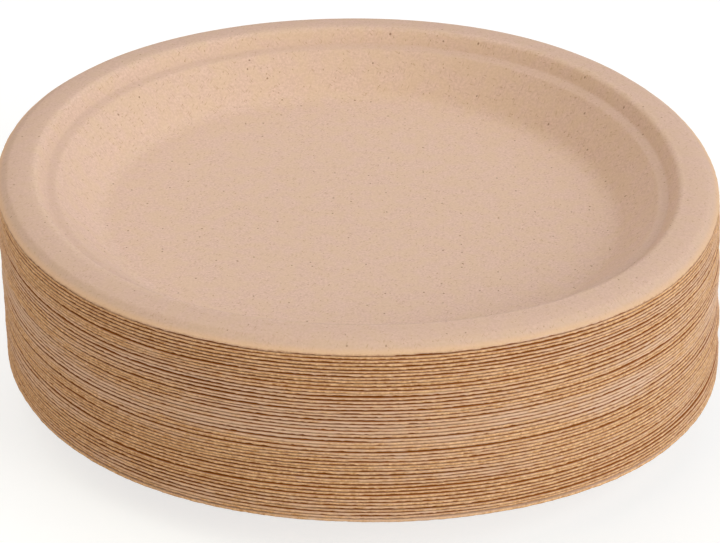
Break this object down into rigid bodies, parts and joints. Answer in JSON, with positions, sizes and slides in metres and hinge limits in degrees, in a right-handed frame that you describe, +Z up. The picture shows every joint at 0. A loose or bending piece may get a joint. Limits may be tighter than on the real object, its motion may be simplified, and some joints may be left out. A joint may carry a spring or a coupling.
{
  "type": "stack of moulded fibre plates",
  "caption": "Leaning stack of round kraft-coloured moulded fibre plates, nested in each other, with a domed rim, a stacking ledge and a flat-floored well.",
  "frame": {"origin": "under the middle of the stack, on the surface that it stands on", "axes": "+Z up along the stack's axis, out of the top plate's well; the stack leans a little towards -X as it rises; +Y is away from the viewer of the picture"},
  "size_m": [0.2633, 0.2604, 0.0854],
  "materials": {
    "kraft_fibre": "matte unbleached moulded fibre, fine grain with sparse dark specks"
  },
  "bodies": {
    "root": {"plate_01": "kraft_fibre", "plate_02": "kraft_fibre", "plate_03": "kraft_fibre", "plate_04": "kraft_fibre", "plate_05": "kraft_fibre", "plate_06": "kraft_fibre", "plate_07": "kraft_fibre", "plate_08": "kraft_fibre", "plate_09": "kraft_fibre", "plate_10": "kraft_fibre", "plate_11": "kraft_fibre", "plate_12": "kraft_fibre", "plate_13": "kraft_fibre", "plate_14": "kraft_fibre", "plate_15": "kraft_fibre", "plate_16": "kraft_fibre", "plate_17": "kraft_fibre", "plate_18": "kraft_fibre", "plate_19": "kraft_fibre", "plate_20": "kraft_fibre", "plate_21": "kraft_fibre", "plate_22": "kraft_fibre", "plate_23": "kraft_fibre", "plate_24": "kraft_fibre", "plate_25": "kraft_fibre", "plate_26": "kraft_fibre", "plate_27": "kraft_fibre", "plate_28": "kraft_fibre", "plate_29": "kraft_fibre", "plate_30": "kraft_fibre", "plate_31": "kraft_fibre", "plate_32": "kraft_fibre", "plate_33": "kraft_fibre", "plate_34": "kraft_fibre", "plate_35": "kraft_fibre", "plate_36": "kraft_fibre", "plate_37": "kraft_fibre", "plate_38": "kraft_fibre", "plate_39": "kraft_fibre", "plate_40": "kraft_fibre", "plate_41": "kraft_fibre", "plate_42": "kraft_fibre", "plate_43": "kraft_fibre", "plate_44": "kraft_fibre", "plate_45": "kraft_fibre", "plate_46": "kraft_fibre", "plate_47": "kraft_fibre", "plate_48": "kraft_fibre", "plate_49": "kraft_fibre", "plate_50": "kraft_fibre"}
  },
  "joints": []
}
